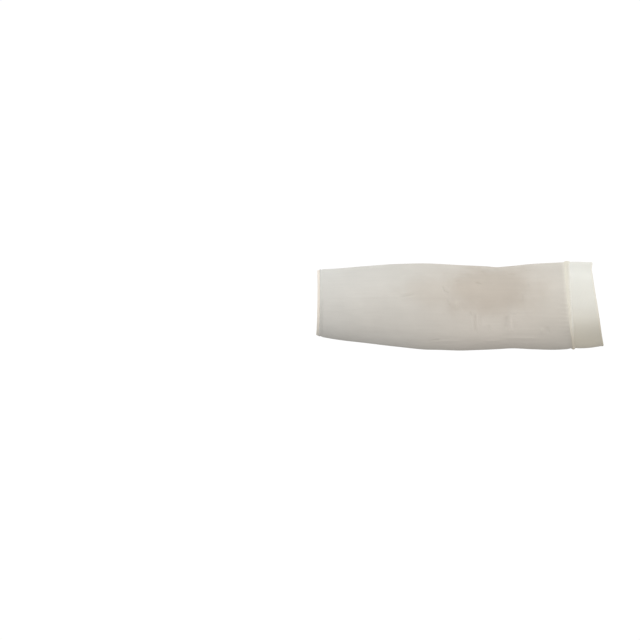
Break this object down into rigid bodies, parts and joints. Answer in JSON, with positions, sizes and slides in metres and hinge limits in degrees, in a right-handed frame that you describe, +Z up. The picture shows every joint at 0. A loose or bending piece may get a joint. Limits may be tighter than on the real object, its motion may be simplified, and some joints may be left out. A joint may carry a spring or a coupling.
{
  "type": "arm sleeve",
  "caption": "Knitted sleeve for the elbow in its worn shape, with a wide elastic band that grips the upper arm and a firm edge on the forearm.",
  "frame": {"origin": "on the arm's axis, at the middle of the elastic band, where the band grips the upper arm", "axes": "+X runs along the arm towards the shoulder, +Z is up, and -Y faces the viewer of the picture"},
  "size_m": [0.2877, 0.0938, 0.0897],
  "materials": {
    "knit": "fine knit, off white",
    "hem_edge": "firm rolled knit edge, cream",
    "elastic": "woven elastic, white",
    "seam_thread": "overlocked thread, cream"
  },
  "bodies": {
    "root": {"knit_tube": "knit", "forearm_hem": "hem_edge", "elastic_band": "elastic", "band_seam": "seam_thread"}
  },
  "joints": []
}
